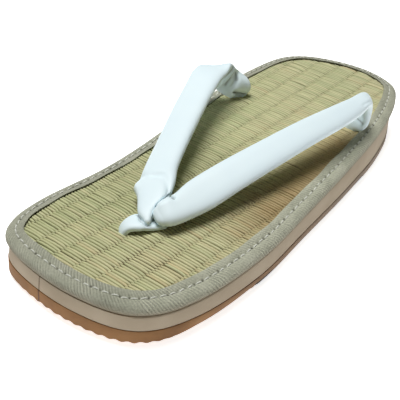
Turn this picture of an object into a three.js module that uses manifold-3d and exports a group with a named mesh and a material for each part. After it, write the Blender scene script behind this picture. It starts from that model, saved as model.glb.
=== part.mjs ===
// A left zori sandal: a rush footbed in a sewn cloth binding, on a foam wedge and a rubber outsole,
// with a padded thong strap. Millimetres, +Z up, toe towards -Y, little-toe side towards +X.
// The origin is on the floor, under the middle of the sandal. The tables' x counts from the thong's line.
import * as THREE from 'three';
import { mergeVertices } from 'three/addons/utils/BufferGeometryUtils.js';
import Module from 'manifold-3d';

const wasm = await Module();
wasm.setup();

// Play between neighbouring pieces
const GAP = 0.3;

// From the thong's line to the middle of the sandal's width
const LINE_TO_MIDDLE = 0.7;

// Plan of the sole: its two ends, and its reach to the big-toe side and the little-toe side at each station
const TOE_TIP = { x: -4, y: -128 };
const HEEL_TIP = { x: 8, y: 128 };
const PLAN = [
  { y: -122, bigToe: 38.5, littleToe: 26.5 },
  { y: -112, bigToe: 46.2, littleToe: 37.6 },
  { y: -92, bigToe: 49.2, littleToe: 45.4 },
  { y: -52, bigToe: 45.3, littleToe: 50.4 },
  { y: -10, bigToe: 45.7, littleToe: 49.4 },
  { y: 36, bigToe: 48.3, littleToe: 47.9 },
  { y: 78, bigToe: 47.0, littleToe: 44.5 },
  { y: 108, bigToe: 39.5, littleToe: 37.6 },
  { y: 121, bigToe: 24.5, littleToe: 30.0 },
];

// Heights along the length
const FOOTBED_AT_BALL = 21.1;
const HEEL_RISE = 7.3;
const RISE_START_Y = -45;
const RISE_SOFT_SHARE = 0.25;
const TOE_SPRING = 3;
const SPRING_START_Y = -72;

// Layers, from the floor up
const OUTSOLE_THICK = 4.4;
const OUTSOLE_TOE_EXTRA = 1.9;
const OUTSOLE_TAPER = { from: -50, to: -105 };
const OUTSOLE_INSET = 0.5;
const OUTSOLE_TUCK = 0.5;
const FOREFOOT_TUCK = { extra: 1.2, from: -54, to: -59, fadeFrom: -92, fadeTo: -112 };
const WAIST = { front: -56, back: 58, raise: 0.7, slope: 1 };
const TREAD_RIB_DEPTH = 0.8;
const TREAD_RIBS_END_Y = -98;
const FOAM_INSET = { top: 1.5, bottom: 0.8 };
const FOOTBED_EDGE_THICK = 6.1;
const TAPE_THICK = 0.9;
const TAPE_OVERLAP = 8.4;
const TAPE_DROOP = 1.4;
const TAPE_ROLL = 3.4;
const ROLL_CUT = 0.29;

// Straps: the plan place of the band's middle, its lift above the footbed, the heading of its width in plan,
// how far its +X edge dips, and its width and thickness. Rows run from the toe to the slot at the rear.
const LITTLE_TOE_ARM = [
  { x: 5.1, y: -73.4, lift: 4.8, heading: -30, dip: 24, width: 7.0, thick: 5.2 },
  { x: 6.3, y: -71.0, lift: 5.6, heading: -26, dip: 24, width: 11.0, thick: 6.8 },
  { x: 7.9, y: -67.4, lift: 6.4, heading: -22, dip: 24, width: 13.4, thick: 7.4 },
  { x: 10.0, y: -60.6, lift: 7.9, heading: -20, dip: 22, width: 15.2, thick: 7.2 },
  { x: 12.4, y: -51.4, lift: 9.5, heading: -18, dip: 20, width: 17.0, thick: 6.8 },
  { x: 15.9, y: -34.0, lift: 12.2, heading: -17, dip: 18, width: 17.2, thick: 6.5 },
  { x: 21.8, y: -10.5, lift: 15.5, heading: -17, dip: 16, width: 16.2, thick: 6.5 },
  { x: 28.0, y: 14.7, lift: 17.8, heading: -17, dip: 14, width: 15.0, thick: 6.5 },
  { x: 32.9, y: 36.0, lift: 18.4, heading: -18, dip: 14, width: 13.6, thick: 6.2 },
  { x: 35.7, y: 50.8, lift: 18.6, heading: -26, dip: 14, width: 11.4, thick: 6.0 },
  { x: 36.9, y: 61.4, lift: 18.4, heading: -44, dip: 9, width: 8.6, thick: 4.8 },
  { x: 37.9, y: 65.2, lift: 14.2, heading: -44, dip: 4, width: 8.6, thick: 4.6 },
  { x: 37.3, y: 64.6, lift: 9.0, heading: -24, dip: 0, width: 9.6, thick: 4.8 },
  { x: 35.9, y: 62.8, lift: 5.6, heading: -4, dip: 0, width: 10.0, thick: 5.0 },
  { x: 32.3, y: 61.4, lift: 2.8, heading: 8, dip: 0, width: 6.8, thick: 4.4 },
  { x: 32.2, y: 60.8, lift: -6.2, heading: 10, dip: 0, width: 7.0, thick: 4.4 },
];
const BIG_TOE_ARM = [
  { x: 0.9, y: -76.6, lift: 3.6, heading: 26, dip: -10, width: 4.0, thick: 4.5 },
  { x: -0.5, y: -73.4, lift: 5.6, heading: 26, dip: -12, width: 8.4, thick: 5.6 },
  { x: -3.2, y: -66.4, lift: 7.6, heading: 24, dip: -14, width: 14.4, thick: 6.6 },
  { x: -8.1, y: -57.4, lift: 9.0, heading: 22, dip: -14, width: 17.6, thick: 6.8 },
  { x: -13.5, y: -47.5, lift: 10.2, heading: 22, dip: -14, width: 16.4, thick: 6.5 },
  { x: -20.8, y: -30.0, lift: 12.6, heading: 20, dip: -13, width: 16.0, thick: 6.5 },
  { x: -30.0, y: -6.0, lift: 16.2, heading: 18, dip: -10, width: 16.5, thick: 6.5 },
  { x: -36.1, y: 12.3, lift: 19.4, heading: 20, dip: -8, width: 16.8, thick: 6.3 },
  { x: -39.4, y: 24.6, lift: 21.7, heading: 32, dip: -4, width: 17.4, thick: 5.8 },
  { x: -40.2, y: 32.5, lift: 20.4, heading: 45, dip: -2, width: 18.2, thick: 5.2 },
  { x: -37.3, y: 40.4, lift: 12.0, heading: 47, dip: 0, width: 17.6, thick: 4.6 },
  { x: -33.3, y: 48.0, lift: 5.4, heading: 46, dip: 14, width: 16.2, thick: 4.2 },
  { x: -32.3, y: 49.6, lift: 0.6, heading: 38, dip: 0, width: 10.0, thick: 4.2 },
  { x: -32.8, y: 49.2, lift: -6.2, heading: 20, dip: 0, width: 8.2, thick: 4.5 },
];
const FRONT_LOOP = [
  { x: 8.7, y: -70.8, lift: 2.5, heading: 20, dip: 0, width: 9.0, thick: 3.2 },
  { x: 4.3, y: -75.6, lift: 3.2, heading: 20, dip: 0, width: 9.6, thick: 3.8 },
  { x: 0.5, y: -80.0, lift: 3.3, heading: 22, dip: 0, width: 9.0, thick: 4.0 },
  { x: -1.9, y: -83.8, lift: 1.6, heading: 22, dip: 0, width: 7.0, thick: 3.8 },
  { x: -2.7, y: -85.2, lift: -1.4, heading: 20, dip: 0, width: 5.6, thick: 3.6 },
  { x: -2.7, y: -85.2, lift: -6.2, heading: 20, dip: 0, width: 5.6, thick: 3.6 },
];

// Fineness of the mesh
const EDGE_POINTS = 120;
const OUTSOLE_POINTS = 240;
const BAND_POINTS = 14;
const STEPS_PER_ROW = 3;
const BAND_SIDE_POWER = 0.6;
const BAND_CROWN_POWER = 0.8;

const ramp = (value, from, to) => THREE.MathUtils.clamp((value - from) / (to - from), 0, 1);

function toeSpring(y) {
  return TOE_SPRING * ramp(y, SPRING_START_Y, TOE_TIP.y) ** 2;
}

// The footbed climbs to the heel on a straight slope with a soft start
function heelRise(y) {
  const along = ramp(y, RISE_START_Y, HEEL_TIP.y);
  const straightShare = 1 - RISE_SOFT_SHARE / 2;
  if (along < RISE_SOFT_SHARE) return (HEEL_RISE * along ** 2) / (2 * RISE_SOFT_SHARE * straightShare);
  return (HEEL_RISE * (along - RISE_SOFT_SHARE / 2)) / straightShare;
}

const footbedTop = (y) => FOOTBED_AT_BALL + heelRise(y) + toeSpring(y);

// The outsole is thicker under the toe
function outsoleTop(y) {
  return OUTSOLE_THICK + OUTSOLE_TOE_EXTRA * ramp(y, OUTSOLE_TAPER.from, OUTSOLE_TAPER.to) + toeSpring(y);
}

const planPoints = [
  new THREE.Vector3(TOE_TIP.x, TOE_TIP.y, 0),
  ...PLAN.map((row) => new THREE.Vector3(row.littleToe, row.y, 0)),
  new THREE.Vector3(HEEL_TIP.x, HEEL_TIP.y, 0),
  ...PLAN.toReversed().map((row) => new THREE.Vector3(-row.bigToe, row.y, 0)),
];
const planCurve = new THREE.CatmullRomCurve3(planPoints, true, 'centripetal');

// One ring round the sole, set in from its plan by a size or a rule of y, at a height worked out from y
// and the point's number
function edgeRing(inset, height, count = EDGE_POINTS) {
  return Array.from({ length: count }, (_, i) => {
    const point = planCurve.getPointAt(i / count);
    const tangent = planCurve.getTangentAt(i / count);
    const depth = typeof inset === 'number' ? inset : inset(point.y);
    point.x -= tangent.y * depth;
    point.y += tangent.x * depth;
    point.z = height(point.y, i);
    return point;
  });
}

// Rings stacked into a skin. A loft either closes on its first ring or gets a cap of cross strips at each end.
function loft(rings, { endless = false } = {}) {
  const count = rings[0].length;
  const triangles = [];
  const quad = (a, b, c, d) => triangles.push(a, b, c, a, c, d);
  const spans = endless ? rings.length : rings.length - 1;
  for (let k = 0; k < spans; k++) {
    const low = k * count;
    const high = ((k + 1) % rings.length) * count;
    for (let i = 0; i < count; i++) {
      const next = (i + 1) % count;
      quad(low + i, low + next, high + next, high + i);
    }
  }
  const capWith = (base, flip) => {
    const triangle = (a, b, c) => triangles.push(base + a, base + (flip ? c : b), base + (flip ? b : c));
    for (let i = 0; i < count / 2; i++) {
      const across = count - i;
      if (i + 1 < across - 1) triangle(i, i + 1, across - 1);
      if (i > 0) triangle(i, across - 1, across);
    }
  };
  if (!endless) {
    capWith(0, true);
    capWith((rings.length - 1) * count, false);
  }
  const geometry = new THREE.BufferGeometry();
  geometry.setAttribute('position', new THREE.Float32BufferAttribute(rings.flat().flatMap((p) => p.toArray()), 3));
  geometry.setIndex(triangles);
  return geometry;
}

// A flat padded band along its rows. Grow makes the room that a neighbour has to leave for it.
function band(rows, grow = 0) {
  const middles = rows.map((row) => new THREE.Vector3(row.x, row.y, footbedTop(row.y) + row.lift));
  const route = new THREE.CatmullRomCurve3(middles, false, 'centripetal');
  const steps = (rows.length - 1) * STEPS_PER_ROW;
  const rings = [];
  for (let k = 0; k <= steps; k++) {
    const row = Math.min(Math.floor(k / STEPS_PER_ROW), rows.length - 2);
    const blend = THREE.MathUtils.smoothstep(k / STEPS_PER_ROW - row, 0, 1);
    const value = (name) => THREE.MathUtils.lerp(rows[row][name], rows[row + 1][name], blend);
    const heading = THREE.MathUtils.degToRad(value('heading'));
    const dip = THREE.MathUtils.degToRad(value('dip'));
    const middle = route.getPoint(k / steps);
    const along = route.getTangent(k / steps);
    const across = new THREE.Vector3(Math.cos(heading), Math.sin(heading), -Math.tan(dip));
    across.addScaledVector(along, -across.dot(along)).normalize();
    const over = new THREE.Vector3().crossVectors(across, along);
    if (k === 0) middle.addScaledVector(along, -grow);
    if (k === steps) middle.addScaledVector(along, grow);
    rings.push(Array.from({ length: BAND_POINTS }, (_, i) => {
      const angle = (2 * Math.PI * i) / BAND_POINTS;
      const side = Math.sign(Math.cos(angle)) * Math.abs(Math.cos(angle)) ** BAND_SIDE_POWER;
      const crown = Math.sign(Math.sin(angle)) * Math.abs(Math.sin(angle)) ** BAND_CROWN_POWER;
      return middle.clone()
        .addScaledVector(across, side * (value('width') / 2 + grow))
        .addScaledVector(over, -crown * (value('thick') / 2 + grow));
    }));
  }
  return loft(rings);
}

function toSolid(geometry) {
  const bare = new THREE.BufferGeometry().setAttribute('position', geometry.attributes.position);
  bare.setIndex(geometry.index);
  const welded = mergeVertices(bare);
  const vertProperties = new Float32Array(welded.attributes.position.array);
  const triVerts = new Uint32Array(welded.index.array);
  return new wasm.Manifold(new wasm.Mesh({ numProp: 3, vertProperties, triVerts }));
}

function toGeometry(solid) {
  const mesh = solid.getMesh();
  const geometry = new THREE.BufferGeometry();
  geometry.setAttribute('position', new THREE.BufferAttribute(new Float32Array(mesh.vertProperties), 3));
  geometry.setIndex(new THREE.BufferAttribute(new Uint32Array(mesh.triVerts), 1));
  return geometry;
}

// How far the outsole's lower edge is tucked in: further along the forefoot pad than at the toe and the heel
function lowerEdgeInset(y) {
  const { extra, from, to, fadeFrom, fadeTo } = FOREFOOT_TUCK;
  return OUTSOLE_INSET + OUTSOLE_TUCK + extra * ramp(y, from, to) * ramp(y, fadeTo, fadeFrom);
}

// Rubber outsole: a forefoot pad with ribs under the toe and a heel pad, with the waist raised between them
function outsole() {
  const tread = (y, i) => toeSpring(y) + (y < TREAD_RIBS_END_Y ? TREAD_RIB_DEPTH * (i % 2) : 0);
  const slab = loft([
    edgeRing(lowerEdgeInset, tread, OUTSOLE_POINTS),
    edgeRing(OUTSOLE_INSET, (y) => toeSpring(y) + OUTSOLE_THICK / 2, OUTSOLE_POINTS),
    edgeRing(OUTSOLE_INSET, outsoleTop, OUTSOLE_POINTS),
  ]);
  const below = -2;
  const run = (WAIST.slope * (WAIST.raise - below)) / WAIST.raise;
  const hollow = new THREE.Shape([
    new THREE.Vector2(WAIST.front - run, below),
    new THREE.Vector2(WAIST.back + run, below),
    new THREE.Vector2(WAIST.back, WAIST.raise),
    new THREE.Vector2(WAIST.front, WAIST.raise),
  ]);
  const soleWidth = 140;
  const cutter = new THREE.ExtrudeGeometry(hollow, { depth: soleWidth, bevelEnabled: false });
  cutter.translate(0, 0, -soleWidth / 2);
  const lengthUpAcross = [new THREE.Vector3(0, 1, 0), new THREE.Vector3(0, 0, 1), new THREE.Vector3(1, 0, 0)];
  cutter.applyMatrix4(new THREE.Matrix4().makeBasis(...lengthUpAcross));
  return toGeometry(toSolid(slab).subtract(toSolid(cutter)));
}

// Foam wedge between the outsole and the footbed
function midsole() {
  const bottom = (y) => outsoleTop(y) + GAP;
  const top = (y) => footbedTop(y) - FOOTBED_EDGE_THICK - 2 * GAP - TAPE_THICK;
  return loft([edgeRing(FOAM_INSET.bottom, bottom), edgeRing(FOAM_INSET.top, top)]);
}

// Height of the drooping edge under the binding, below the footbed's top, at a distance in from the plan
function edgeDroop(inset) {
  return TAPE_DROOP * (1 - ramp(inset, TAPE_ROLL, TAPE_OVERLAP)) ** 2;
}

// Rush footbed: its edge is thinner where the binding folds round it, and it has a slot for each strap end
function footbed(bands) {
  const from = (depth) => (y) => footbedTop(y) - depth;
  const edge = TAPE_THICK + GAP;
  const corner = TAPE_ROLL - edge;
  const step = TAPE_OVERLAP + GAP;
  const halfway = (TAPE_OVERLAP + TAPE_ROLL) / 2;
  const base = FOOTBED_EDGE_THICK + TAPE_THICK + GAP;
  const mat = loft([
    edgeRing(step, from(base)),
    edgeRing(step, from(FOOTBED_EDGE_THICK)),
    edgeRing(TAPE_ROLL, from(FOOTBED_EDGE_THICK)),
    edgeRing(edge, from(FOOTBED_EDGE_THICK - corner)),
    edgeRing(edge, from(TAPE_DROOP + corner)),
    edgeRing(TAPE_ROLL, from(TAPE_DROOP)),
    edgeRing(halfway, from(edgeDroop(halfway))),
    edgeRing(step, from(0)),
  ]);
  return toGeometry(bands.reduce((solid, rows) => solid.subtract(toSolid(band(rows, GAP))), toSolid(mat)));
}

// Cloth binding: tape folded round the footbed's edge, as an endless C in section
function binding() {
  const at = (height) => (y) => footbedTop(y) + height;
  const upper = GAP + TAPE_THICK;
  const lower = -FOOTBED_EDGE_THICK - GAP - TAPE_THICK;
  const shoulder = upper - TAPE_DROOP;
  const halfway = (TAPE_OVERLAP + TAPE_ROLL) / 2;
  const cut = TAPE_ROLL * ROLL_CUT;
  return loft([
    edgeRing(TAPE_OVERLAP, at(lower)),
    edgeRing(TAPE_ROLL, at(lower)),
    edgeRing(cut, at(lower + cut)),
    edgeRing(0, at(lower + TAPE_ROLL)),
    edgeRing(0, at(shoulder - TAPE_ROLL)),
    edgeRing(cut, at(shoulder - cut)),
    edgeRing(TAPE_ROLL, at(shoulder)),
    edgeRing(halfway, at(upper - edgeDroop(halfway))),
    edgeRing(TAPE_OVERLAP, at(upper)),
    edgeRing(TAPE_OVERLAP, at(upper - TAPE_THICK)),
    edgeRing(halfway, at(upper - TAPE_THICK - edgeDroop(halfway))),
    edgeRing(TAPE_ROLL, at(shoulder - TAPE_THICK)),
    edgeRing(TAPE_THICK, at(shoulder - TAPE_ROLL)),
    edgeRing(TAPE_THICK, at(lower + TAPE_ROLL)),
    edgeRing(TAPE_ROLL, at(lower + TAPE_THICK)),
    edgeRing(TAPE_OVERLAP, at(lower + TAPE_THICK)),
  ], { endless: true });
}

// Padded straps: both arms of the thong, joined at the front of the V
function straps() {
  return toGeometry(toSolid(band(LITTLE_TOE_ARM)).add(toSolid(band(BIG_TOE_ARM))));
}

// Front loop: a folded band from under the joined straps down into the front slot
function toeLoop() {
  const arms = toSolid(band(LITTLE_TOE_ARM, GAP)).add(toSolid(band(BIG_TOE_ARM, GAP)));
  return toGeometry(toSolid(band(FRONT_LOOP)).subtract(arms));
}

const sandal = new THREE.Group();
sandal.name = 'zori';
sandal.position.x = -LINE_TO_MIDDLE;

function addPiece(name, geometry, finish) {
  const mesh = new THREE.Mesh(geometry, new THREE.MeshStandardMaterial(finish));
  mesh.name = name;
  sandal.add(mesh);
}

addPiece('outsole', outsole(), { color: 0x96694a, roughness: 0.75, metalness: 0 });
addPiece('midsole', midsole(), { color: 0xb5a68f, roughness: 0.8, metalness: 0 });
const bands = [LITTLE_TOE_ARM, BIG_TOE_ARM, FRONT_LOOP];
addPiece('footbed', footbed(bands), { color: 0xbfb47c, roughness: 0.6, metalness: 0 });
addPiece('binding', binding(), { color: 0x979b87, roughness: 0.85, metalness: 0 });
addPiece('straps', straps(), { color: 0xe9f2f8, roughness: 0.4, metalness: 0 });
addPiece('toe_loop', toeLoop(), { color: 0xe9f2f8, roughness: 0.4, metalness: 0 });

export default sandal;
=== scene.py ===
import math

import bpy
import numpy as np
from mathutils import Matrix, Vector


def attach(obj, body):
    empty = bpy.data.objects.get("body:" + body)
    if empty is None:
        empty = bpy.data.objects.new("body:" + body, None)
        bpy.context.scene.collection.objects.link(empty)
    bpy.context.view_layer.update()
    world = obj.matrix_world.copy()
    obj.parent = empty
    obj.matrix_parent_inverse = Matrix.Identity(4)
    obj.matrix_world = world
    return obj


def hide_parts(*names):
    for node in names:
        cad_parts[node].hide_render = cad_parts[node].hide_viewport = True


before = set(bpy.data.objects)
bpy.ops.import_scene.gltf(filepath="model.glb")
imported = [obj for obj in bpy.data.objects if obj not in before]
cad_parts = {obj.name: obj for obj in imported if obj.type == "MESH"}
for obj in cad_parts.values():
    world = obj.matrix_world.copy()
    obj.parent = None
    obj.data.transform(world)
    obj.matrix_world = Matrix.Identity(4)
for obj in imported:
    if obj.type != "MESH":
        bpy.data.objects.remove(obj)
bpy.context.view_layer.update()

# Camera: it looks down on the toe from the little-toe side, close enough for the toe to look wider
# than the heel, and is rolled a little to the left.
eye = Vector((0.1658, -0.2839, 0.2347))
target = Vector((-0.0108, -0.0169, -0.0025))
roll = math.radians(5.269)
ahead = (target - eye).normalized()
level_right = ahead.cross(Vector((0, 0, 1))).normalized()
level_down = ahead.cross(level_right)
picture_right = math.cos(roll) * level_right - math.sin(roll) * level_down
picture_up = -math.sin(roll) * level_right - math.cos(roll) * level_down
bpy.ops.object.camera_add()
camera = bpy.context.object
camera.matrix_world = Matrix((picture_right, picture_up, -ahead)).transposed().to_4x4()
camera.location = eye
camera.data.sensor_width = 36
camera.data.lens = 68.37
camera.data.clip_start = 0.01
bpy.context.scene.camera = camera

# Studio: a white light table that runs out of sight between pale walls, which give little light. A soft box
# overhead, a little to the big-toe side, drops the straps' shadows on the mat beside them, and a weak one
# stands low in front of the toe.
bpy.context.scene.view_settings.view_transform = "Standard"
bpy.ops.object.select_all(action="DESELECT")
bpy.ops.mesh.primitive_plane_add(size=40)
floor = bpy.context.object
floor.name = "floor"
table_top = bpy.data.materials.new("light_table")
table_top.use_nodes = True
table_shader = table_top.node_tree.nodes["Principled BSDF"]
table_shader.inputs["Base Color"].default_value = (0.9, 0.9, 0.9, 1)
table_shader.inputs["Roughness"].default_value = 0.9
table_shader.inputs["Emission Color"].default_value = (1, 1, 1, 1)
table_shader.inputs["Emission Strength"].default_value = 0.8
floor.data.materials.append(table_top)
world = bpy.data.worlds.new("studio_walls")
world.use_nodes = True
walls = world.node_tree
dim_light = walls.nodes["Background"]
dim_light.inputs["Color"].default_value = (1.0, 0.84, 0.62, 1)
dim_light.inputs["Strength"].default_value = 0.06
pale_wall = walls.nodes.new("ShaderNodeBackground")
pale_wall.inputs["Color"].default_value = (0.84, 0.84, 0.84, 1)
seen_or_lit = walls.nodes.new("ShaderNodeMixShader")
walls.links.new(walls.nodes.new("ShaderNodeLightPath").outputs["Is Camera Ray"], seen_or_lit.inputs["Fac"])
walls.links.new(dim_light.outputs[0], seen_or_lit.inputs[1])
walls.links.new(pale_wall.outputs[0], seen_or_lit.inputs[2])
walls.links.new(seen_or_lit.outputs[0], walls.nodes["World Output"].inputs["Surface"])
bpy.context.scene.world = world
for place, size, watts in (
    (Vector((-0.22, -0.02, 1.0)), 0.5, 10.0),
    (Vector((0.3, -0.9, 0.4)), 0.6, 0.25),
):
    bpy.ops.object.light_add(type="AREA", location=place)
    lamp = bpy.context.object
    lamp.data.size = size
    lamp.data.energy = watts
    lamp.rotation_euler = (-place).to_track_quat("-Z", "Y").to_euler()

# Outsole: a sheet of brown rubber, thicker under the toe, where the ends of its ribs nick the lower edge.
# It is cut to the foot's plan, joined by a butt seam at the toe, and hollowed a little at the waist.
MM = 0.001
toe_tip, heel_tip = (-4.7, -128), (7.3, 128)
# Columns: y, and the reach to the big-toe side and to the little-toe side
plan_rows = (
    (-122, 39.2, 25.8),
    (-112, 46.9, 36.9),
    (-92, 49.9, 44.7),
    (-52, 46.0, 49.7),
    (-10, 46.4, 48.7),
    (36, 49.0, 47.2),
    (78, 47.7, 43.8),
    (108, 40.2, 36.9),
    (121, 25.2, 29.3),
)


def smooth_through(knots, steps, endless):
    """Points on a smooth line through the knots; the first three columns set how far apart they are."""
    if endless:
        before, after, beyond = (np.roll(knots, k, 0) for k in (1, -1, -2))
        start = knots
    else:
        long = np.vstack([2 * knots[0] - knots[1], knots, 2 * knots[-1] - knots[-2]])
        before, start, after, beyond = long[:-3], long[1:-2], long[2:-1], long[3:]
    gap = lambda a, b: np.linalg.norm((b - a)[:, :3], axis=1)[:, None] ** 0.5
    d0, d1, d2 = gap(before, start), gap(start, after), gap(after, beyond)
    leave = ((start - before) / d0 - (after - before) / (d0 + d1) + (after - start) / d1) * d1
    arrive = ((after - start) / d1 - (beyond - start) / (d1 + d2) + (beyond - after) / d2) * d1
    u = (np.arange(steps) / steps)[None, :, None]
    start, after, leave, arrive = (a[:, None, :] for a in (start, after, leave, arrive))
    line = start + leave * u + (3 * (after - start) - 2 * leave - arrive) * u**2
    line = (line + (2 * (start - after) + leave + arrive) * u**3).reshape(-1, knots.shape[1])
    return line if endless else np.vstack([line, knots[-1]])


def sole_plan(count):
    """The sole's plan as evenly spaced points from the toe round by the little toe, the way in from each
    of them, and the length all round."""
    little = [(row[2], row[0]) for row in plan_rows]
    big = [(-row[1], row[0]) for row in reversed(plan_rows)]
    line = smooth_through(np.array([toe_tip, *little, heel_tip, *big], float), 200, endless=True)
    line = np.vstack([line, line[:1]])
    run = np.concatenate([[0], np.cumsum(np.linalg.norm(np.diff(line, axis=0), axis=1))])
    at = np.linspace(0, run[-1], count, endpoint=False)
    points = np.column_stack([np.interp(at, run, line[:, k]) for k in (0, 1)])
    along = np.roll(points, -1, 0) - np.roll(points, 1, 0)
    along /= np.linalg.norm(along, axis=1)[:, None]
    return points, np.column_stack([-along[:, 1], along[:, 0]]), run[-1]


def ramp(value, start, end):
    return np.clip((value - start) / (end - start), 0, 1)


def toe_spring(y):
    return 3 * ramp(y, -72, -128) ** 2


def outsole_top(y):
    return 4.4 + 1.9 * ramp(y, -50, -105) + toe_spring(y)


def sole_layer(name, stations, profile, endless=False, marks=None):
    """A hoop drawn up level by level, then carried to the sole's plan: each level has a rule for its inset
    and one for its height. Marks are values by level, from the place along the edge, for the material."""
    bpy.ops.object.select_all(action="DESELECT")
    bpy.ops.mesh.primitive_circle_add(vertices=stations, radius=1, fill_type="NOTHING", calc_uvs=False)
    layer = bpy.context.object
    layer.name = layer.data.name = name
    bpy.ops.object.mode_set(mode="EDIT")
    bpy.ops.mesh.select_mode(type="EDGE")
    bpy.ops.mesh.select_all(action="SELECT")
    for _ in profile[1:]:
        bpy.ops.mesh.extrude_edges_move(TRANSFORM_OT_translate={"value": (0, 0, 1)})
    bpy.ops.mesh.select_all(action="DESELECT")
    bpy.ops.mesh.select_non_manifold()
    if endless:
        bpy.ops.mesh.bridge_edge_loops()
    else:
        bpy.ops.mesh.edge_face_add()
    bpy.ops.object.mode_set(mode="OBJECT")
    mesh = layer.data
    co = np.empty(len(mesh.vertices) * 3)
    mesh.vertices.foreach_get("co", co)
    co = co.reshape(-1, 3)
    station = np.rint(np.arctan2(co[:, 1], co[:, 0]) / (2 * np.pi) * stations).astype(int) % stations
    level = np.rint(co[:, 2]).astype(int)
    points, inward, length = sole_plan(stations)
    run = np.arange(stations) * length / stations
    place = np.empty((len(profile), stations, 3))
    for k, (inset, height) in enumerate(profile):
        depth = inset(points[:, 1], run) if callable(inset) else np.full(stations, float(inset))
        place[k, :, :2] = points + inward * depth[:, None]
        place[k, :, 2] = height(place[k, :, 1], run)
    mesh.vertices.foreach_set("co", (place[level, station] * MM).ravel())
    corner = np.empty(len(mesh.loops), int)
    mesh.loops.foreach_get("vertex_index", corner)
    face_of_corner = np.repeat(np.arange(len(mesh.polygons)), [len(p.vertices) for p in mesh.polygons])
    turn = station[corner].astype(float)
    high = np.zeros(len(mesh.polygons))
    np.maximum.at(high, face_of_corner, turn)
    turn[high[face_of_corner] - turn > stations / 2] += stations
    round_run = np.concatenate([[0], np.cumsum(np.linalg.norm(np.diff(place, axis=0), axis=2).mean(1))])
    around = round_run[level[corner]]
    if endless:
        top = np.zeros(len(mesh.polygons))
        np.maximum.at(top, face_of_corner, around)
        around[(around == 0) & (top[face_of_corner] > round_run[1] * 1.5)] = round_run[-1] + 0.5
    uv = mesh.uv_layers.new(name="UVMap")
    uv.data.foreach_set("uv", np.column_stack([turn * length / stations, around]).ravel() * MM)
    if marks:
        value = np.zeros((len(profile), stations), np.float32)
        for k, rule in marks.items():
            value[k] = rule(points[:, 1], run)
        mesh.attributes.new("mark", "FLOAT", "POINT").data.foreach_set("value", value[level, station])
    bpy.ops.object.mode_set(mode="EDIT")
    bpy.ops.mesh.select_all(action="SELECT")
    bpy.ops.mesh.normals_make_consistent(inside=False)
    bpy.ops.object.mode_set(mode="OBJECT")
    bpy.ops.object.shade_smooth_by_angle(angle=math.radians(50))
    return layer


sole_length = sole_plan(1440)[2]
nick_step = 5.35


def outsole_lower_inset(y, run):
    return 0.15 + 1.0 * ramp(y, -54, -59) * ramp(y, -112, -92)


def outsole_tread(y, run):
    past_toe = (run + 200) % sole_length - 200
    nick = 0.4 - 0.4 * np.cos(run * 2 * np.pi / nick_step)
    nick = nick * np.minimum(ramp(past_toe, -32, -10), ramp(past_toe, 58, 42))
    waist = 0.7 * np.minimum(ramp(y, -57, -56), ramp(y, 59, 58))
    return 0.75 * toe_spring(y) + waist + nick


# Painted shadow under the raised waist: its lowest edge is darkened nearly to black, most towards the ends;
# the lip also rises there.
def waist_shadow_and_lift(y, run):
    inside = np.minimum(ramp(y, -56.5, -55.5), ramp(y, 58.5, 57.5))
    return inside * (0.45 + 0.55 * np.maximum(ramp(y, -36, -46), ramp(y, 46, 54)))


def outsole_lip(y, run):
    return outsole_tread(y, run) + 0.5 + 0.9 * waist_shadow_and_lift(y, run)


outsole = sole_layer("outsole_sheet", 960, (
    (lambda y, run: outsole_lower_inset(y, run) + 9.0, outsole_tread),
    (lambda y, run: outsole_lower_inset(y, run) + 0.5, outsole_tread),
    (lambda y, run: outsole_lower_inset(y, run) + 0.1, lambda y, run: outsole_tread(y, run) + 0.25),
    (outsole_lower_inset, outsole_lip),
    (outsole_lower_inset, lambda y, run: outsole_lip(y, run) + 0.1),
    (0.3, lambda y, run: toe_spring(y) + 2.7),
    (0.35, lambda y, run: outsole_top(y) - 0.25),
    (0.45, lambda y, run: outsole_top(y) - 0.06),
    (0.75, lambda y, run: outsole_top(y)),
    (9.0, lambda y, run: outsole_top(y)),
), marks={level: waist_shadow_and_lift for level in range(4)})


def effect_group(name, inputs, outputs):
    """An empty node group with named value sockets, and its two end nodes."""
    group = bpy.data.node_groups.new(name, "ShaderNodeTree")
    for socket, value in inputs.items():
        made = group.interface.new_socket(name=socket, in_out="INPUT", socket_type="NodeSocketFloat")
        made.default_value = value
    for socket in outputs:
        group.interface.new_socket(name=socket, in_out="OUTPUT", socket_type="NodeSocketFloat")
    return group, group.nodes.new("NodeGroupInput"), group.nodes.new("NodeGroupOutput")


def add_node(tree, kind, settings=None, **inputs):
    """A node with its settings, and inputs given as values or as other nodes' sockets."""
    node = tree.nodes.new(kind)
    for key, value in (settings or {}).items():
        setattr(node, key, value)
    for key, value in inputs.items():
        numbered = key[0] == "i" and key[1:].isdigit()
        socket = node.inputs[int(key[1:]) if numbered else key.replace("_", " ")]
        if isinstance(value, bpy.types.NodeSocket):
            tree.links.new(value, socket)
        else:
            socket.default_value = value
    return node


def reckon(tree, operation, *values):
    """The result of one sum on values or on other nodes' sockets."""
    inputs = {f"i{k}": value for k, value in enumerate(values)}
    return add_node(tree, "ShaderNodeMath", {"operation": operation}, **inputs).outputs[0]


def span(tree, value, start, end, low=0.0, high=1.0):
    """Where a value lies between two ends, carried over to a low and a high and held there."""
    return add_node(
        tree, "ShaderNodeMapRange", Value=value, From_Min=start, From_Max=end, To_Min=low, To_Max=high
    ).outputs[0]


def blend(tree, share, under, over, kind="MIX"):
    """A share of one colour laid over another."""
    settings = {"data_type": "RGBA", "blend_type": kind}
    return add_node(tree, "ShaderNodeMix", settings, i0=share, i6=under, i7=over).outputs[2]


def tone_ramp(tree, factor, *stops):
    """A colour ramp with stops of place and colour, read along a factor."""
    node = tree.nodes.new("ShaderNodeValToRGB")
    elements = node.color_ramp.elements
    while len(elements) < len(stops):
        elements.new(0.5)
    for element, (place, colour) in zip(elements, stops):
        element.position = place
        element.color = (*colour, 1)
    tree.links.new(factor, node.inputs["Fac"])
    return node.outputs["Color"]


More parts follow.
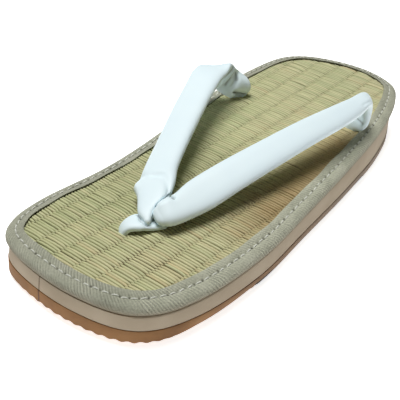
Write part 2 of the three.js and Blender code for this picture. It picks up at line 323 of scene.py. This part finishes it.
def new_finish(name, roughness):
    """A material and its shader, with what stays the same all over set on the shader."""
    finish = bpy.data.materials.new(name)
    finish.use_nodes = True
    shader = finish.node_tree.nodes["Principled BSDF"]
    shader.inputs["Roughness"].default_value = roughness
    return finish, finish.node_tree, shader


def lay_on(tree, shader, colour, height, strength, distance):
    """A colour and a fine relief taken to a shader."""
    relief = add_node(tree, "ShaderNodeBump", Strength=strength, Distance=distance, Height=height)
    tree.links.new(colour, shader.inputs["Base Color"])
    tree.links.new(relief.outputs["Normal"], shader.inputs["Normal"])


mottle, mottle_in, mottle_out = effect_group(
    "mottle", {"Patch Scale": 60.0, "Grain Scale": 900.0}, ("Patches", "Grain")
)
mottle_place = add_node(mottle, "ShaderNodeTexCoord").outputs["Object"]
for effect, size, detail in (("Patches", "Patch Scale", 4.0), ("Grain", "Grain Scale", 3.0)):
    speckle = add_node(
        mottle, "ShaderNodeTexNoise", Vector=mottle_place, Scale=mottle_in.outputs[size], Detail=detail
    )
    mottle.links.new(speckle.outputs["Fac"], mottle_out.inputs[effect])

seam_x, seam_ends_y = -0.0147, -0.1
butt_seam, seam_in, seam_out = effect_group("butt_seam", {"Width": 0.0006}, ("Seam",))
seam_axes = add_node(
    butt_seam, "ShaderNodeSeparateXYZ", Vector=add_node(butt_seam, "ShaderNodeTexCoord").outputs["Object"]
)
seam_far = reckon(butt_seam, "ABSOLUTE", reckon(butt_seam, "SUBTRACT", seam_axes.outputs["X"], seam_x))
seam_near = reckon(butt_seam, "LESS_THAN", seam_far, seam_in.outputs["Width"])
seam_toe = reckon(butt_seam, "LESS_THAN", seam_axes.outputs["Y"], seam_ends_y)
butt_seam.links.new(reckon(butt_seam, "MULTIPLY", seam_near, seam_toe), seam_out.inputs["Seam"])

rubber, tree, shader = new_finish("brown_rubber", 0.72)
spots = add_node(tree, "ShaderNodeGroup", {"node_tree": mottle}, Patch_Scale=70.0, Grain_Scale=1400.0)
seam = add_node(tree, "ShaderNodeGroup", {"node_tree": butt_seam}, Width=0.0005)
colour = tone_ramp(
    tree,
    spots.outputs["Patches"],
    (0.3, (0.235, 0.108, 0.032)),
    (0.52, (0.315, 0.15, 0.047)),
    (0.75, (0.37, 0.192, 0.07)),
)
axes = add_node(tree, "ShaderNodeSeparateXYZ", Vector=add_node(tree, "ShaderNodeTexCoord").outputs["Object"])
dust = span(tree, axes.outputs["Y"], -0.095, 0.03, 0.0, 0.85)
colour = blend(tree, dust, colour, (0.33, 0.27, 0.21, 1))
colour = blend(tree, seam.outputs["Seam"], colour, (0.13, 0.055, 0.025, 1))
# Painted shadow: the waist's lowest edge, from the mark, darkened nearly to black.
waist = add_node(tree, "ShaderNodeAttribute", {"attribute_name": "mark"})
colour = blend(tree, waist.outputs["Fac"], colour, (0.02, 0.014, 0.01, 1))
lay_on(tree, shader, colour, spots.outputs["Grain"], 0.35, 0.0002)
outsole.data.materials.append(rubber)
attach(outsole, "root")
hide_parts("outsole")

# Midsole: a wedge of beige closed-cell foam, thin at the toe and thick at the heel, with its band's ends
# butted at the toe. It is glued to the outsole below and to the footbed above.
ball_height, heel_rise, climb_ease = 21.1, 7.3, 0.25


def footbed_top(y):
    climb = ramp(y, -45, 128)
    evened = 1 - climb_ease / 2
    soft = heel_rise * climb**2 / (2 * climb_ease * evened)
    straight = heel_rise * (climb - climb_ease / 2) / evened
    return ball_height + np.where(climb < climb_ease, soft, straight) + toe_spring(y)


midsole = sole_layer("midsole_wedge", 720, (
    (9.0, lambda y, run: outsole_top(y) + 0.05),
    (0.85, lambda y, run: outsole_top(y) + 0.05),
    (0.72, lambda y, run: outsole_top(y) + 0.12),
    (0.7, lambda y, run: outsole_top(y) + 0.9),
    (1.0, lambda y, run: 0.55 * outsole_top(y) + 0.45 * (footbed_top(y) - 7.6)),
    (1.35, lambda y, run: footbed_top(y) - 8.6),
    (1.6, lambda y, run: footbed_top(y) - 7.75),
    (2.2, lambda y, run: footbed_top(y) - 7.45),
    (9.0, lambda y, run: footbed_top(y) - 7.45),
))
foam, tree, shader = new_finish("beige_foam", 0.82)
spots = add_node(tree, "ShaderNodeGroup", {"node_tree": mottle}, Patch_Scale=45.0, Grain_Scale=2200.0)
seam = add_node(tree, "ShaderNodeGroup", {"node_tree": butt_seam}, Width=0.0004)
colour = tone_ramp(
    tree,
    spots.outputs["Patches"],
    (0.3, (0.40, 0.325, 0.23)),
    (0.55, (0.46, 0.38, 0.275)),
    (0.75, (0.51, 0.43, 0.32)),
)
colour = blend(tree, seam.outputs["Seam"], colour, (0.22, 0.16, 0.11, 1))
lay_on(tree, shader, colour, spots.outputs["Grain"], 0.25, 0.00015)
midsole.data.materials.append(foam)
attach(midsole, "root")
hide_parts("midsole")

# Footbed: rush woven across the foot on a thin core. Each stem passes over one gap between the warp lines
# and under the next, so the stems of neighbouring columns lie half a step apart.
core = sole_layer("footbed_core", 480, (
    (10.5, lambda y, run: footbed_top(y) - 7.1),
    (8.9, lambda y, run: footbed_top(y) - 7.1),
    (8.8, lambda y, run: footbed_top(y) - 6.2),
    (3.4, lambda y, run: footbed_top(y) - 6.1),
    (1.4, lambda y, run: footbed_top(y) - 4.6),
    (1.4, lambda y, run: footbed_top(y) - 3.2),
    (3.4, lambda y, run: footbed_top(y) - 1.9),
    (6.5, lambda y, run: footbed_top(y) - 0.95),
    (9.5, lambda y, run: footbed_top(y) - 0.75),
))
stem_step = 1.7
column_step = 11.7
column_lean = 0.085
middle_column_x, lean_from_y = 4.0, -100
mat_inset = 6.4
stem_rng = np.random.default_rng(7)
edge_points, edge_inward, _ = sole_plan(1440)
mat_edge = edge_points + edge_inward * mat_inset
across_u = np.array([-1.06, -0.97, -0.85, -0.6, -0.3, 0, 0.3, 0.6, 0.85, 0.97, 1.06])
section_v = np.array([-1.0, -0.82, -0.45, 0, 0.45, 0.82, 1.0])
section_z = np.array([-0.62, -0.22, 0.05, 0.14, 0.05, -0.22, -0.62])
stem_points, stem_faces, stem_tone, stem_gap_shade = [], [], [], []
for column in range(-6, 7):
    rows = np.arange(-74, 75) + (0.5 if column % 2 else 0.0)
    for row in rows:
        y = row * stem_step + stem_rng.normal(0, 0.06)
        crossing = np.where((mat_edge[:, 1] - y) * (np.roll(mat_edge[:, 1], -1) - y) < 0)[0]
        if len(crossing) < 2:
            continue
        west, east = mat_edge[crossing, 0].min(), mat_edge[crossing, 0].max()
        middle = middle_column_x + column * column_step + column_lean * (y - lean_from_y)
        x = middle + across_u * column_step / 2
        inside = (x > west) & (x < east)
        if inside.sum() < 3:
            continue
        x, u = x[inside], across_u[inside]
        tone = np.clip(stem_rng.normal(0.5, 0.13), 0, 1)
        girth = stem_step / 2 * stem_rng.uniform(0.93, 1.06)
        lift = stem_rng.normal(0, 0.05)
        sway = stem_rng.normal(0, 0.09)
        border = stem_rng.uniform(0.2, 2.6)
        crown = 0.2 - 0.42 * np.abs(u) ** 3.2 + lift
        bow = y + sway * u + 0.10 * stem_rng.normal() * (1 - u**2)
        base = len(stem_points)
        for i in range(len(x)):
            pinch = 1 - 0.22 * np.abs(u[i]) ** 6
            for v, z in zip(section_v, section_z):
                py = bow[i] + v * girth * pinch
                stem_points.append((x[i], py, float(footbed_top(py)) + crown[i] + z))
                stem_tone.append(tone)
                # Painted shade: darker towards the stem's edges, where it meets its neighbours, and at its
                # ends, where it dips under the warp.
                stem_gap_shade.append(min(1.0, 0.8 * abs(v) ** 4 + border * max(0.0, abs(u[i]) - 0.84)))
        width = len(section_v)
        for i in range(len(x) - 1):
            for j in range(width - 1):
                a = base + i * width + j
                stem_faces.append((a, a + width, a + width + 1, a + 1))
rush_mesh = bpy.data.meshes.new("footbed_rush")
rush_mesh.from_pydata((np.array(stem_points) * MM).tolist(), [], stem_faces)
for value_name, values in (("tone", stem_tone), ("gap_shade", stem_gap_shade)):
    kept = rush_mesh.attributes.new(value_name, "FLOAT", "POINT")
    kept.data.foreach_set("value", np.array(values, np.float32))
rush_mesh.shade_smooth()
rush = bpy.data.objects.new("footbed_rush", rush_mesh)
bpy.context.scene.collection.objects.link(rush)
straw, tree, shader = new_finish("dry_rush", 0.55)
place = add_node(tree, "ShaderNodeTexCoord").outputs["Object"]
axes = add_node(tree, "ShaderNodeSeparateXYZ", Vector=place)
tone = add_node(tree, "ShaderNodeAttribute", {"attribute_name": "tone"})
drift = add_node(tree, "ShaderNodeTexNoise", Vector=place, Scale=28.0, Detail=3.0)
green = reckon(tree, "MULTIPLY_ADD", axes.outputs["X"], 2.6, 0.27)
mixed = reckon(tree, "MULTIPLY_ADD", tone.outputs["Fac"], 0.75, green)
aged = reckon(tree, "MULTIPLY_ADD", drift.outputs["Fac"], 0.5, mixed)
colour = tone_ramp(
    tree,
    reckon(tree, "SUBTRACT", aged, 0.4),
    (0.05, (0.42, 0.46, 0.23)),
    (0.35, (0.54, 0.56, 0.30)),
    (0.62, (0.62, 0.60, 0.34)),
    (0.85, (0.60, 0.51, 0.27)),
    (1.0, (0.74, 0.70, 0.46)),
)
fibres_place = add_node(tree, "ShaderNodeMapping", Vector=place, Scale=(60, 2600, 2600))
fibres = add_node(tree, "ShaderNodeTexNoise", Vector=fibres_place.outputs[0], Scale=1.0, Detail=2.0)
streak = span(tree, fibres.outputs["Fac"], 0.3, 0.7, 0.82, 1.12)
colour = blend(tree, 1.0, colour, streak, "MULTIPLY")
# Painted shadow: the mat on the little-toe side, from behind the ball to before the heel, is browned and
# darkened where the little-toe arm's shadow falls.
outer_side = span(tree, axes.outputs["X"], 0.014, 0.034, 0.0, 0.75)
behind_ball = span(tree, axes.outputs["Y"], -0.065, -0.03)
before_heel = span(tree, axes.outputs["Y"], 0.075, 0.045)
arm_shadow_tint = reckon(tree, "MULTIPLY", outer_side, reckon(tree, "MULTIPLY", behind_ball, before_heel))
colour = blend(tree, arm_shadow_tint, colour, (0.34, 0.2, 0.06, 1))
# Painted shade: a soft darker patch on the mat between the two arms.
shade_centre_distance = add_node(tree, "ShaderNodeVectorMath", {"operation": "DISTANCE"}, i0=place, i1=(-0.004, -0.03, 0.024))
between_arms_shade = span(tree, shade_centre_distance.outputs["Value"], 0.05, 0.015, 0.0, 0.3)
colour = blend(tree, between_arms_shade, colour, (0.22, 0.21, 0.10, 1))
# Painted shade in the gaps between stems and at the column lines.
gap_shade = add_node(tree, "ShaderNodeAttribute", {"attribute_name": "gap_shade"})
depth = reckon(tree, "MULTIPLY", gap_shade.outputs["Fac"], 0.8)
colour = blend(tree, depth, colour, (0.085, 0.065, 0.02, 1))
lay_on(tree, shader, colour, fibres.outputs["Fac"], 0.3, 0.00012)
rush.data.materials.append(straw)
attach(rush, "root")
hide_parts("footbed")
shade, tree, shader = new_finish("mat_core", 0.9)
spots = add_node(tree, "ShaderNodeGroup", {"node_tree": mottle}, Patch_Scale=120.0, Grain_Scale=1800.0)
colour = tone_ramp(tree, spots.outputs["Patches"], (0.3, (0.10, 0.085, 0.035)), (0.7, (0.17, 0.14, 0.06)))
tree.links.new(colour, shader.inputs["Base Color"])
core.data.materials.append(shade)
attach(core, "root")

# Binding: grey-green twill tape folded round the mat's edge into a soft roll and sewn through near the
# middle of its upper flap. Round the toe its ribs are drawn into slanting ridges.
tape_rng = np.random.default_rng(3)
waves = [(tape_rng.uniform(0.02, 0.16), tape_rng.uniform(0, 6.3)) for _ in range(9)]
stitch_inset, stitch_pitch = 4.5, 4.6
stitch_count = round(sole_length / stitch_pitch)
stitch_step = sole_length / stitch_count
hole_depth = tape_rng.uniform(0.3, 1.0, stitch_count)


def edge_wander(run):
    return sum(np.sin(run * rate * 2 + turn) for rate, turn in waves) / len(waves)


def flap_edge(y, run):
    return 8.2 + 0.55 * edge_wander(run)


def flap_rise(y, run):
    return 0.35 + 0.3 * edge_wander(run + 40)


def tape_height(height, rise=0.0):
    return lambda y, run: footbed_top(y) + height + rise * flap_rise(y, run)


# Needle holes: they sink the sewn levels, and as a mark they give painted shade in and round the holes.
def needle_holes(y, run):
    stitch = (run / stitch_step).astype(int) % stitch_count
    return hole_depth[stitch] * np.exp(-((((run / stitch_step) % 1 - 0.5) * stitch_step / 0.62) ** 2))


def hole_rim_shade(y, run):
    return 0.7 * needle_holes(y, run)


# Painted shade along the flap's inner edge, where it stands off the mat.
def flap_edge_shade(y, run):
    return 0.45 + 0.25 * edge_wander(run * 3)


# Painted shade under the flap.
def under_flap_shade(y, run):
    return np.ones(len(run))


def sewn_height(height, share):
    return lambda y, run: footbed_top(y) + height - 0.6 * share * needle_holes(y, run)


binding = sole_layer("binding_tape", 1800, (
    (8.4, tape_height(-7.3)),
    (4.6, tape_height(-7.3)),
    (3.2, tape_height(-7.25)),
    (2.0, tape_height(-6.95)),
    (1.0, tape_height(-6.3)),
    (0.32, tape_height(-5.3)),
    (0.02, tape_height(-4.2)),
    (0.02, tape_height(-3.3)),
    (0.32, tape_height(-2.2)),
    (0.95, tape_height(-1.25)),
    (1.9, tape_height(-0.55)),
    (3.1, tape_height(-0.1)),
    (3.7, tape_height(0.0)),
    (stitch_inset - 0.4, sewn_height(-0.02, 0.5)),
    (stitch_inset, sewn_height(-0.1, 1.0)),
    (stitch_inset + 0.4, sewn_height(0.02, 0.5)),
    (5.4, tape_height(0.3)),
    (6.4, tape_height(0.72, 0.3)),
    (lambda y, run: flap_edge(y, run) - 0.5, tape_height(0.92, 0.9)),
    (lambda y, run: flap_edge(y, run) - 0.08, tape_height(0.84, 1.0)),
    (flap_edge, tape_height(0.55, 1.0)),
    (lambda y, run: flap_edge(y, run) - 0.12, tape_height(0.3, 1.0)),
    (lambda y, run: flap_edge(y, run) - 0.9, tape_height(0.3, 0.8)),
    (5.6, tape_height(-0.35)),
    (3.4, tape_height(-1.1)),
    (1.6, tape_height(-2.6)),
    (0.95, tape_height(-3.8)),
    (1.6, tape_height(-5.2)),
    (3.4, tape_height(-6.3)),
    (8.4, tape_height(-6.5)),
), endless=True, marks={
    13: hole_rim_shade, 14: needle_holes, 15: hole_rim_shade, 20: flap_edge_shade, 21: under_flap_shade, 22: under_flap_shade
})
rib_step, weft_step = 0.0016, 0.0006
tape, tree, shader = new_finish("twill_tape", 0.85)
cloth = add_node(tree, "ShaderNodeUVMap", {"uv_map": "UVMap"}).outputs[0]
place = add_node(tree, "ShaderNodeTexCoord").outputs["Object"]
run_round = add_node(tree, "ShaderNodeSeparateXYZ", Vector=cloth)
wobble = add_node(tree, "ShaderNodeTexNoise", Vector=place, Scale=160.0, Detail=2.0)
bent = reckon(tree, "MULTIPLY_ADD", wobble.outputs["Fac"], rib_step, run_round.outputs["X"])
slant = reckon(tree, "MULTIPLY_ADD", run_round.outputs["Y"], 0.7, bent)
ribs = reckon(tree, "SINE", reckon(tree, "MULTIPLY", slant, 2 * math.pi / rib_step))
weft = reckon(tree, "SINE", reckon(tree, "MULTIPLY", slant, 2 * math.pi / weft_step))
spots = add_node(tree, "ShaderNodeGroup", {"node_tree": mottle}, Patch_Scale=110.0, Grain_Scale=1300.0)
axes = add_node(tree, "ShaderNodeSeparateXYZ", Vector=place)
gather = span(tree, axes.outputs["Y"], -0.06, -0.1, 0.7, 1.0)
patchy = add_node(tree, "ShaderNodeTexNoise", Vector=place, Scale=95.0, Detail=2.0)
uneven = span(tree, patchy.outputs["Fac"], 0.35, 0.65, 0.15, 1.0)
drawn = reckon(tree, "MULTIPLY", ribs, reckon(tree, "MULTIPLY", uneven, gather))
woven = reckon(tree, "MULTIPLY_ADD", weft, 0.35, drawn)
fuzz = reckon(tree, "MULTIPLY_ADD", spots.outputs["Grain"], 2.4, woven)
colour = tone_ramp(
    tree,
    spots.outputs["Patches"],
    (0.28, (0.36, 0.37, 0.285)),
    (0.5, (0.41, 0.42, 0.325)),
    (0.75, (0.46, 0.465, 0.37)),
)
# Partly painted light: the ribs, weft and grain make the colour lighter on the crests and darker between
# them, beside the weave's own speckle.
rib_light = span(tree, fuzz, -0.6, 2.8, 0.5, 1.42)
# Painted light: the tape on the little-toe side is made up to a third lighter.
outer_side = span(tree, axes.outputs["X"], 0.02, 0.045, 1.0, 1.32)
colour = blend(tree, 1.0, colour, reckon(tree, "MULTIPLY", rib_light, outer_side), "MULTIPLY")
# Painted shade: the lower part of the roll, next to the midsole, is darker and browner.
lower_roll_shade = span(tree, run_round.outputs["Y"], 0.0127, 0.0088, 0.0, 0.85)
colour = blend(tree, lower_roll_shade, colour, (0.17, 0.135, 0.085, 1))
# Painted shade in and round the needle holes, along the flap's inner edge and under the flap.
holes = add_node(tree, "ShaderNodeAttribute", {"attribute_name": "mark"})
colour = blend(tree, holes.outputs["Fac"], colour, (0.045, 0.045, 0.032, 1))
lay_on(tree, shader, colour, fuzz, 0.7, 0.0003)
binding.data.materials.append(tape)
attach(binding, "root")
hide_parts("binding")

# Stitching: pale thread sewn through the tape in one row all round, each stitch pulled down into the
# needle holes at its ends.
stitch_line, stitch_inward, _ = sole_plan(stitch_count)
stitch_ahead = np.column_stack([stitch_inward[:, 1], -stitch_inward[:, 0]])
thread_points, thread_faces = [], []
ring_steps, thread_round = 7, 6
stitch_reach, thread_thick = 1.55, 0.36
for n in range(stitch_count):
    centre = stitch_line[n] + stitch_inward[n] * (stitch_inset + tape_rng.normal(0, 0.12))
    sideways = tape_rng.normal(0, 0.12)
    base = len(thread_points)
    for i in range(ring_steps):
        u = 2 * i / (ring_steps - 1) - 1
        spot = centre + stitch_ahead[n] * u * stitch_reach + stitch_inward[n] * sideways * u
        rise = float(footbed_top(spot[1])) + 0.22 - 0.55 * abs(u) ** 3
        thick = thread_thick * (1 - 0.35 * u * u)
        for k in range(thread_round):
            turn = 2 * math.pi * k / thread_round
            side = spot + stitch_inward[n] * thick * math.cos(turn)
            thread_points.append((side[0], side[1], rise + thick * 0.8 * math.sin(turn)))
    for i in range(ring_steps - 1):
        for k in range(thread_round):
            a, b = base + i * thread_round + k, base + i * thread_round + (k + 1) % thread_round
            thread_faces.append((a, b, b + thread_round, a + thread_round))
    thread_faces.append(tuple(base + k for k in reversed(range(thread_round))))
    thread_faces.append(tuple(base + (ring_steps - 1) * thread_round + k for k in range(thread_round)))
thread_mesh = bpy.data.meshes.new("binding_stitches")
thread_mesh.from_pydata((np.array(thread_points) * MM).tolist(), [], thread_faces)
thread_mesh.shade_smooth()
stitches = bpy.data.objects.new("binding_stitches", thread_mesh)
bpy.context.scene.collection.objects.link(stitches)
thread, tree, shader = new_finish("pale_thread", 0.6)
spots = add_node(tree, "ShaderNodeGroup", {"node_tree": mottle}, Patch_Scale=300.0, Grain_Scale=4000.0)
colour = tone_ramp(tree, spots.outputs["Grain"], (0.3, (0.52, 0.54, 0.46)), (0.7, (0.88, 0.89, 0.82)))
tree.links.new(colour, shader.inputs["Base Color"])
stitches.data.materials.append(thread)
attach(stitches, "root")

# Straps: two padded arms covered in white vinyl. The big-toe arm runs down over the front, the little-toe
# arm ends in a folded lobe against it, and each rear end folds down into its slot in the mat.
# Columns: x, y, lift over the mat, heading of the width, dip of its +X edge, width, thickness
little_toe_arm = (
    (5.9, -72.7, 6.4, -30, 22, 9.6, 5.6),
    (6.8, -70.8, 7.0, -27, 22, 12.2, 7.0),
    (7.9, -68.1, 7.6, -24, 23, 13.4, 7.6),
    (10.1, -61.3, 8.3, -20, 22, 14.2, 7.2),
    (11.7, -51.4, 9.5, -18, 20, 17.0, 6.8),
    (15.2, -34.0, 12.2, -17, 18, 17.2, 6.5),
    (21.1, -10.5, 15.5, -17, 16, 16.2, 6.5),
    (27.3, 14.7, 17.8, -17, 14, 15.0, 6.5),
    (32.2, 36.0, 18.4, -18, 14, 13.6, 6.2),
    (35.0, 50.8, 18.6, -26, 14, 11.4, 6.0),
    (36.3, 62.2, 18.7, -44, 9, 9.0, 4.8),
    (36.6, 65.0, 14.4, -44, 4, 8.6, 4.6),
    (35.9, 64.5, 8.2, -24, 0, 9.6, 4.8),
    (34.9, 62.6, 4.2, -4, 0, 10.4, 5.0),
    (32.3, 61.2, 1.2, 8, 0, 7.4, 4.5),
    (31.7, 60.8, -6.0, 10, 0, 7.2, 4.4),
)
big_toe_arm = (
    (2.6, -77.4, 5.2, 26, -6, 3.2, 3.4),
    (1.4, -76.3, 5.5, 26, -8, 4.8, 4.2),
    (-1.0, -73.7, 6.0, 26, -12, 8.2, 5.4),
    (-3.9, -66.4, 7.6, 24, -14, 14.4, 6.6),
    (-8.8, -57.4, 9.0, 22, -14, 17.6, 6.8),
    (-14.2, -47.5, 10.2, 22, -14, 16.4, 6.5),
    (-21.5, -30.0, 12.6, 20, -13, 16.0, 6.5),
    (-30.7, -6.0, 16.2, 18, -10, 16.5, 6.5),
    (-36.8, 12.3, 19.4, 20, -8, 16.8, 6.3),
    (-40.1, 24.6, 21.7, 32, -4, 17.4, 5.8),
    (-40.9, 32.5, 20.4, 45, -2, 18.2, 5.2),
    (-38.4, 39.6, 12.8, 52, -4, 16.4, 4.2),
    (-33.4, 46.2, 5.8, 74, 2, 14.8, 3.0),
    (-34.3, 47.4, 2.2, 60, 0, 11.0, 3.4),
    (-35.0, 47.6, 0.0, 46, 0, 9.0, 4.0),
    (-35.2, 47.8, -6.0, 30, 0, 8.2, 4.5),
)
# Columns: run and turn round the band at the start, the same at the end, spread, depth
little_toe_folds = (
    (8.4, 176, 8.8, 116, 0.8, 1.5),
    (5.0, 112, 2.5, 118, 2.6, -0.5),
    (148.5, 252, 153.5, 276, 2.4, 2.0),
    (155.0, 238, 155.2, 300, 0.6, 0.7),
    (138.0, 45, 132.0, 62, 1.6, 0.5),
)
big_toe_folds = (
    (20.8, 160, 20.4, 186, 3.2, -1.6),
    (28.0, 150, 27.0, 98, 2.0, 0.95),
    (26.5, 80, 16.5, 26, 2.2, 0.95),
    (17.0, 348, 12.0, 34, 0.75, 1.6),
    (12.0, 34, 8.4, 42, 0.75, 1.6),
    (8.4, 42, 2.0, 2, 0.75, 1.3),
    (1.4, 2, 0.2, 356, 1.1, 1.0),
    (125.0, 350, 129.0, 250, 1.0, 0.7),
    (126.8, 350, 131.0, 262, 0.9, -0.6),
    (128.2, 350, 132.8, 262, 1.0, 0.7),
    (130.2, 348, 134.6, 272, 0.9, -0.6),
    (131.8, 346, 136.8, 280, 1.1, 0.8),
    (132.4, 325, 135.8, 262, 2.4, 1.3),
    (137.5, 264, 143.0, 300, 4.5, -2.4),
    (139.0, 246, 145.4, 266, 1.1, 1.8),
    (145.4, 266, 145.8, 310, 1.1, 1.6),
)


def padded_band(name, rows, folds, around=88, step=0.5):
    """A stuffed band along its rows, with a round cap in front and a flat one at the rear end, hidden in its
    slot. Folds are soft troughs, or ridges where depth is below zero, from one place to another: millimetres
    along the band, and degrees round it from its +X edge over its upper face."""
    table = np.array(rows, float)
    table[:, 2] += footbed_top(table[:, 1])
    line = smooth_through(table, 24, endless=False)
    run = np.concatenate([[0], np.cumsum(np.linalg.norm(np.diff(line[:, :3], axis=0), axis=1))])
    at = np.linspace(0, run[-1], round(run[-1] / step) + 1)
    line = np.column_stack([np.interp(at, run, column) for column in line.T])
    along = np.gradient(line[:, :3], axis=0)
    along /= np.linalg.norm(along, axis=1)[:, None]
    heading, dip = np.radians(line[:, 3]), np.radians(line[:, 4])
    across = np.column_stack([np.cos(heading), np.sin(heading), -np.tan(dip)])
    across -= along * (across * along).sum(1)[:, None]
    across /= np.linalg.norm(across, axis=1)[:, None]
    over = np.cross(across, along)
    cap = np.array([(1.0, 0.12), (0.97, 0.3), (0.86, 0.52), (0.66, 0.74), (0.4, 0.9), (0.18, 0.98)])
    front = len(cap)
    middle = np.vstack([line[0, :3] - along[0] * cap[:, :1] * line[0, 6] / 2, line[:, :3]])
    share = np.concatenate([cap[:, 1], np.ones(len(line))])
    pick = np.concatenate([np.zeros(front, int), np.arange(len(line))])
    run = np.concatenate([-cap[:, 0] * line[0, 6] / 2, at])
    turn = 2 * np.pi * np.arange(around) / around
    side = np.sign(np.cos(turn)) * np.abs(np.cos(turn)) ** 0.65
    crown = np.sign(np.sin(turn)) * np.abs(np.sin(turn)) ** 0.85
    half_wide, half_thick = (line[pick, k] / 2 * share for k in (5, 6))
    wide, high = across[pick][:, None], over[pick][:, None]
    points = middle[:, None] + wide * (half_wide[:, None] * side)[..., None]
    points = points + high * (half_thick[:, None] * crown)[..., None]
    out = wide * (np.cos(turn) * half_thick[:, None])[..., None]
    out = out + high * (np.sin(turn) * half_wide[:, None])[..., None]
    out /= np.linalg.norm(out, axis=2, keepdims=True)
    girth = 0.125  # millimetres to a degree round the band
    crease = np.zeros((len(run), around))
    for from_run, from_round, to_run, to_round, spread, depth in folds:
        reach = np.array([to_run - from_run, ((to_round - from_round + 180) % 360 - 180) * girth])
        off_run = (run - from_run)[:, None] + np.zeros(around)
        off_round = ((np.degrees(turn) - from_round + 180) % 360 - 180)[None] * girth
        off_round = off_round + np.zeros((len(run), 1))
        part = np.clip((off_run * reach[0] + off_round * reach[1]) / (reach @ reach), 0, 1)
        far = np.hypot(off_run - part * reach[0], off_round - part * reach[1])
        points -= out * (depth * np.exp(-((far / spread) ** 2)))[..., None]
        # Narrow troughs also give a crease value, used for painted shade.
        if depth > 0 and spread < 1.2:
            crease = np.maximum(crease, min(1, depth) * np.exp(-((far / spread / 0.6) ** 2)))
    count = len(run)
    grid = np.arange(count * around).reshape(count, around)
    ahead_of = np.roll(grid, -1, 1)
    faces = np.stack([grid[:-1], ahead_of[:-1], ahead_of[1:], grid[1:]], -1).reshape(-1, 4).tolist()
    faces += [tuple(grid[0][::-1]), tuple(grid[-1])]
    mesh = bpy.data.meshes.new(name)
    mesh.from_pydata((points.reshape(-1, 3) * MM).tolist(), [], faces)
    kept = mesh.attributes.new("crease", "FLOAT", "POINT")
    kept.data.foreach_set("value", crease.ravel().astype(np.float32))
    band = bpy.data.objects.new(name, mesh)
    bpy.context.scene.collection.objects.link(band)
    bpy.ops.object.select_all(action="DESELECT")
    band.select_set(True)
    bpy.context.view_layer.objects.active = band
    bpy.ops.object.mode_set(mode="EDIT")
    bpy.ops.mesh.select_all(action="SELECT")
    bpy.ops.mesh.normals_make_consistent(inside=False)
    bpy.ops.object.mode_set(mode="OBJECT")
    bpy.ops.object.shade_smooth()
    return band


little_arm = padded_band("strap_little_toe", little_toe_arm, little_toe_folds)
big_arm = padded_band("strap_big_toe", big_toe_arm, big_toe_folds)
bpy.ops.object.select_all(action="DESELECT")
little_arm.select_set(True)
big_arm.select_set(True)
bpy.context.view_layer.objects.active = big_arm
bpy.ops.object.join()
straps = bpy.context.object
straps.name = straps.data.name = "thong_straps"
vinyl, tree, shader = new_finish("white_vinyl", 0.5)
spots = add_node(tree, "ShaderNodeGroup", {"node_tree": mottle}, Patch_Scale=40.0, Grain_Scale=1600.0)
colour = tone_ramp(tree, spots.outputs["Patches"], (0.3, (0.79, 0.93, 0.985)), (0.7, (0.83, 0.965, 1.0)))
# Painted shade in the narrow creases, the slit and the wrinkles.
crease = add_node(tree, "ShaderNodeAttribute", {"attribute_name": "crease"})
crease_shade = reckon(tree, "MULTIPLY", crease.outputs["Fac"], 0.88)
colour = blend(tree, crease_shade, colour, (0.12, 0.13, 0.14, 1))
lay_on(tree, shader, colour, spots.outputs["Grain"], 0.12, 0.0001)
straps.data.materials.append(vinyl)
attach(straps, "root")
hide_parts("straps")

# Toe loop: a folded band of the same vinyl that comes out from under the joined arms and goes down
# through the front slot, between the toes.
front_loop = (
    (7.2, -70.6, 1.4, -38, 0, 5.0, 2.4),
    (2.8, -75.2, 2.0, -38, 0, 8.0, 3.2),
    (-1.2, -79.0, 3.2, -38, 0, 10.8, 3.8),
    (-4.2, -83.6, 1.8, -38, 0, 7.4, 3.8),
    (-4.9, -85.6, -1.4, -38, 0, 6.0, 3.6),
    (-4.7, -85.8, -6.0, -38, 0, 5.6, 3.6),
)
front_loop_folds = (
    (12.2, 222, 11.6, 272, 0.7, 0.7),
    (11.6, 272, 8.6, 318, 0.7, 0.7),
)
toe_loop = padded_band("thong_toe_loop", front_loop, front_loop_folds, around=56)
toe_loop.data.materials.append(vinyl)
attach(toe_loop, "root")
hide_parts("toe_loop")
